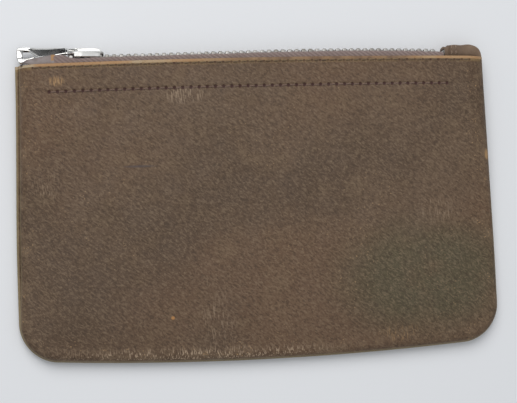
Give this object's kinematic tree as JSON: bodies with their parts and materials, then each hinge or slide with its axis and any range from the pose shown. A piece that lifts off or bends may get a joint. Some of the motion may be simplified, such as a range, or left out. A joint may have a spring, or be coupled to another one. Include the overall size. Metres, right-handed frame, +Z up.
{
  "type": "zippered pouch",
  "caption": "Small flat leather pouch with rounded bottom corners, a metal zip along its mouth, leather zip end tabs and stitched hems.",
  "frame": {"origin": "on the resting face of the back panel, in the middle of the panels", "axes": "+X along the zip, from the end where it is closed to the end where it is open; +Y from the bottom seam to the zip; +Z up through the thickness"},
  "size_m": [0.172, 0.1131, 0.0103],
  "materials": {
    "leather": "worn pebbled",
    "tab_leather": "worn",
    "lining": "plain weave",
    "zip_tape": "twill",
    "teeth_metal": "dulled",
    "slider_metal": "polished",
    "thread": "twisted"
  },
  "bodies": {
    "back": {"back_panel": "leather", "back_lining": "lining", "back_zip_tape": "zip_tape", "back_teeth": "teeth_metal", "back_top_stop": "teeth_metal", "bottom_stop": "teeth_metal", "right_end_tab": "tab_leather", "back_edge_stitching": "thread", "back_hem_stitching": "thread", "seam_thread": "thread", "tab_tack_stitches": "thread"},
    "front": {"front_panel": "leather", "front_lining": "lining", "front_zip_tape": "zip_tape", "front_teeth": "teeth_metal", "front_top_stop": "teeth_metal", "front_edge_stitching": "thread", "front_hem_stitching": "thread", "left_end_tab": "tab_leather"},
    "slider": {"slider_body": "slider_metal"},
    "pull": {"pull_tab": "slider_metal"}
  },
  "joints": [
    {"name": "slider_slide", "type": "slide", "parent": "back", "child": "slider", "axis": [1, 0, 0], "range_m": [0, 0.121]},
    {"name": "mouth_open", "type": "hinge", "parent": "back", "child": "front", "pos_m": [0, -0.055, 0.0032], "axis": [1, 0, 0], "range_deg": [0, 12.01]},
    {"name": "pull_swing", "type": "hinge", "parent": "slider", "child": "pull", "pos_m": [-0.0638, 0.0564, 0.005], "axis": [0, 0, -1], "range_deg": [0, 135]}
  ],
  "couplings": [
    {"joint": "mouth_open", "follows": "slider_slide", "rad_per_m": 1.7309}
  ]
}
